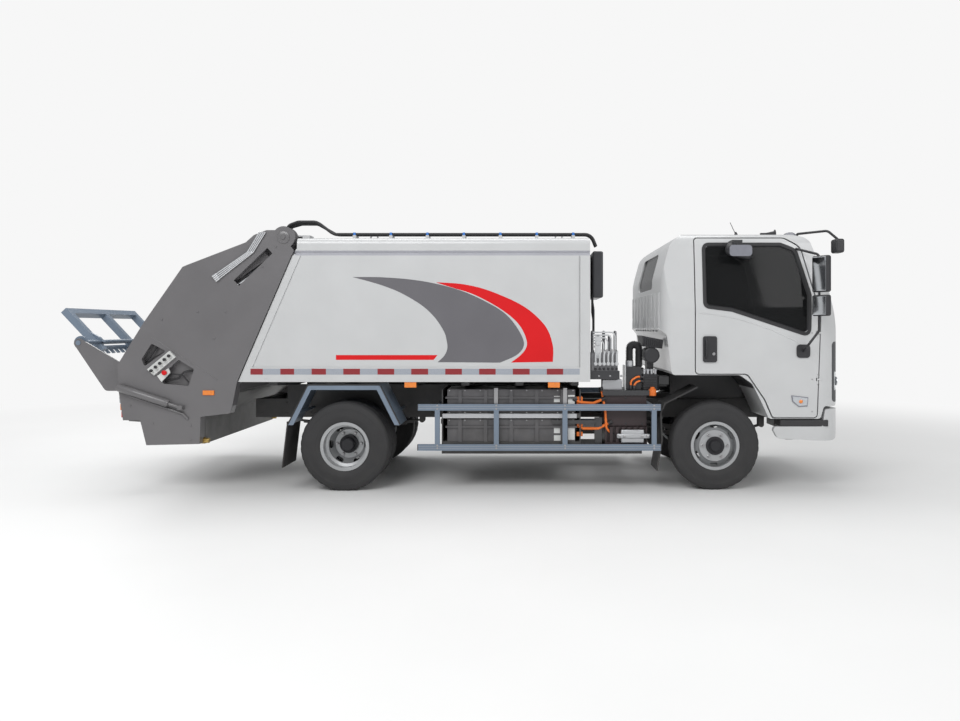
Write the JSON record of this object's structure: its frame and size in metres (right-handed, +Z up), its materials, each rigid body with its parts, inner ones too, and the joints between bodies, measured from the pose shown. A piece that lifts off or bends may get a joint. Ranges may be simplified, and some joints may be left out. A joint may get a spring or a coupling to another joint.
{
  "type": "rear-loading garbage truck",
  "caption": "Light electric garbage truck with a tilting cab, a striped load body, a lifting tailgate with a packing blade and a rear bin lifter.",
  "frame": {"origin": "on the ground, at the middle of the overall length and width", "axes": "+X forwards, +Y to the left side, +Z up"},
  "size_m": [7.285, 2.4482, 2.457],
  "materials": {
    "frame_black": "satin black chassis paint",
    "body_white": "gloss white paint",
    "tailgate_grey": "gloss mid-grey paint",
    "hopper_steel": "worn painted steel",
    "wheel_silver": "silver paint",
    "tyre": "matt rubber",
    "glass_tint": "tinted glass",
    "grille_grey": "moulded dark plastic",
    "bumper_white": "painted plastic moulding",
    "lamp_clear": "clear lens",
    "mirror_black": "moulded black plastic",
    "seat_fabric": "woven fabric",
    "trim_dark": "moulded plastic",
    "pack_black": "satin black paint",
    "guard_blue_grey": "satin blue-grey paint",
    "cylinder_black": "gloss black paint",
    "rod_chrome": "polished",
    "hose_black": "black rubber",
    "cast_dark": "dark casting",
    "valve_metal": "machined aluminium",
    "flap_rubber": "black rubber sheet",
    "amber_lens": "amber lens",
    "panel_white": "printed panel, blank",
    "lifter_grey": "gloss mid-grey paint"
  },
  "bodies": {
    "chassis": {"chassis_frame": "frame_black", "cross_members": "frame_black", "cross_bearers": "frame_black", "front_axle": "cast_dark", "rear_axle": "cast_dark", "drive_motor": "cast_dark", "subframe": "frame_black", "body_shell": "body_white", "battery_packs": "pack_black", "battery_rack": "frame_black", "control_box": "pack_black", "side_guards": "guard_blue_grey", "rear_fenders": "guard_blue_grey", "mudflaps": "flap_rubber", "mudguards": "flap_rubber", "front_bumper": "bumper_white", "hydraulic_tank": "pack_black", "valve_block": "valve_metal", "roof_hoses": "hose_black", "side_markers": "amber_lens", "front_springs": "cast_dark", "rear_springs": "cast_dark"},
    "ejector": {"ejector_plate": "hopper_steel"},
    "cab": {"cab_shell": "body_white", "windscreen": "glass_tint", "rear_window": "glass_tint", "grille_panel": "grille_grey", "headlamps": "lamp_clear", "look_down_mirror": "mirror_black", "seats": "seat_fabric", "dashboard": "trim_dark", "steering_wheel": "trim_dark"},
    "tailgate": {"tailgate_shell": "tailgate_grey", "hopper_tub": "hopper_steel", "lifter_brackets": "lifter_grey", "control_panel": "panel_white", "tailgate_pipes": "rod_chrome"},
    "packer_slide": {"packer_carriage": "tailgate_grey"},
    "packer_blade": {"packer_blade": "hopper_steel"},
    "bin_lifter": {"bin_lifter": "guard_blue_grey"},
    "knuckle_left": {"knuckle_left": "cast_dark"},
    "front_wheel_left": {"front_rim_left": "wheel_silver", "front_tyre_left": "tyre"},
    "rear_wheel_left": {"rear_rims_left": "wheel_silver", "rear_tyres_left": "tyre"},
    "door_left": {"door_left": "body_white", "door_glass_left": "glass_tint", "door_fittings_left": "mirror_black"},
    "lift_barrel_left": {"lift_barrel_left": "cylinder_black"},
    "lift_rod_left": {"lift_rod_left": "rod_chrome"},
    "knuckle_right": {"knuckle_right": "cast_dark"},
    "front_wheel_right": {"front_rim_right": "wheel_silver", "front_tyre_right": "tyre"},
    "rear_wheel_right": {"rear_rims_right": "wheel_silver", "rear_tyres_right": "tyre"},
    "door_right": {"door_right": "body_white", "door_glass_right": "glass_tint", "door_fittings_right": "mirror_black"},
    "lift_barrel_right": {"lift_barrel_right": "cylinder_black"},
    "lift_rod_right": {"lift_rod_right": "rod_chrome"}
  },
  "joints": [
    {"name": "steer_left", "type": "hinge", "parent": "chassis", "child": "knuckle_left", "pos_m": [2.4775, 0.73, 0.402], "axis": [0, 0, 1], "range_deg": [-35, 35]},
    {"name": "steer_right", "type": "hinge", "parent": "chassis", "child": "knuckle_right", "pos_m": [2.4775, -0.73, 0.402], "axis": [0, 0, 1], "range_deg": [-35, 35]},
    {"name": "front_wheel_spin_left", "type": "hinge", "parent": "knuckle_left", "child": "front_wheel_left", "pos_m": [2.4775, 0.84, 0.402], "axis": [0, 1, 0], "continuous": true},
    {"name": "front_wheel_spin_right", "type": "hinge", "parent": "knuckle_right", "child": "front_wheel_right", "pos_m": [2.4775, -0.84, 0.402], "axis": [0, 1, 0], "continuous": true},
    {"name": "rear_wheel_spin_left", "type": "hinge", "parent": "chassis", "child": "rear_wheel_left", "pos_m": [-0.8825, 0.765, 0.402], "axis": [0, 1, 0], "continuous": true},
    {"name": "rear_wheel_spin_right", "type": "hinge", "parent": "chassis", "child": "rear_wheel_right", "pos_m": [-0.8825, -0.765, 0.402], "axis": [0, 1, 0], "continuous": true},
    {"name": "cab_tilt", "type": "hinge", "parent": "chassis", "child": "cab", "pos_m": [3.5475, 0, 0.84], "axis": [0, 1, 0], "range_deg": [0, 45]},
    {"name": "door_open_left", "type": "hinge", "parent": "cab", "child": "door_left", "pos_m": [3.3875, 0.987, 1.2], "axis": [0, 0, -1], "range_deg": [0, 65]},
    {"name": "door_open_right", "type": "hinge", "parent": "cab", "child": "door_right", "pos_m": [3.3875, -0.987, 1.2], "axis": [0, 0, 1], "range_deg": [0, 65]},
    {"name": "tailgate_lift", "type": "hinge", "parent": "chassis", "child": "tailgate", "pos_m": [-1.4125, 0, 2.285], "axis": [0, 1, 0], "range_deg": [0, 90]},
    {"name": "packer_travel", "type": "slide", "parent": "tailgate", "child": "packer_slide", "axis": [-0.5, 0, -0.866], "range_m": [0, 0.45]},
    {"name": "packer_swing", "type": "hinge", "parent": "packer_slide", "child": "packer_blade", "pos_m": [-2.1575, 0, 1.44], "axis": [0, 1, 0], "range_deg": [-12, 45]},
    {"name": "bin_lifter_tip", "type": "hinge", "parent": "tailgate", "child": "bin_lifter", "pos_m": [-3.2975, 0, 1.34], "axis": [0, 1, 0], "range_deg": [-125, 85]},
    {"name": "ejector_travel", "type": "slide", "parent": "chassis", "child": "ejector", "axis": [-1, 0, 0], "range_m": [0, 1.9]},
    {"name": "lift_cylinder_swing_left", "type": "hinge", "parent": "chassis", "child": "lift_barrel_left", "pos_m": [-1.4575, 0.985, 2.13], "axis": [0, 1, 0], "range_deg": [0, 93]},
    {"name": "lift_rod_travel_left", "type": "slide", "parent": "lift_barrel_left", "child": "lift_rod_left", "axis": [-0.8211, 0, -0.5708], "range_m": [0, 0.235]},
    {"name": "lift_cylinder_swing_right", "type": "hinge", "parent": "chassis", "child": "lift_barrel_right", "pos_m": [-1.4575, -0.985, 2.13], "axis": [0, 1, 0], "range_deg": [0, 93]},
    {"name": "lift_rod_travel_right", "type": "slide", "parent": "lift_barrel_right", "child": "lift_rod_right", "axis": [-0.8211, 0, -0.5708], "range_m": [0, 0.235]}
  ],
  "couplings": [
    {"joint": "steer_right", "follows": "steer_left", "ratio": 1},
    {"joint": "lift_cylinder_swing_left", "follows": "tailgate_lift", "ratio": 1.021},
    {"joint": "lift_rod_travel_left", "follows": "tailgate_lift", "m_per_rad": 0.1448},
    {"joint": "lift_cylinder_swing_right", "follows": "tailgate_lift", "ratio": 1.021},
    {"joint": "lift_rod_travel_right", "follows": "tailgate_lift", "m_per_rad": 0.1448}
  ]
}
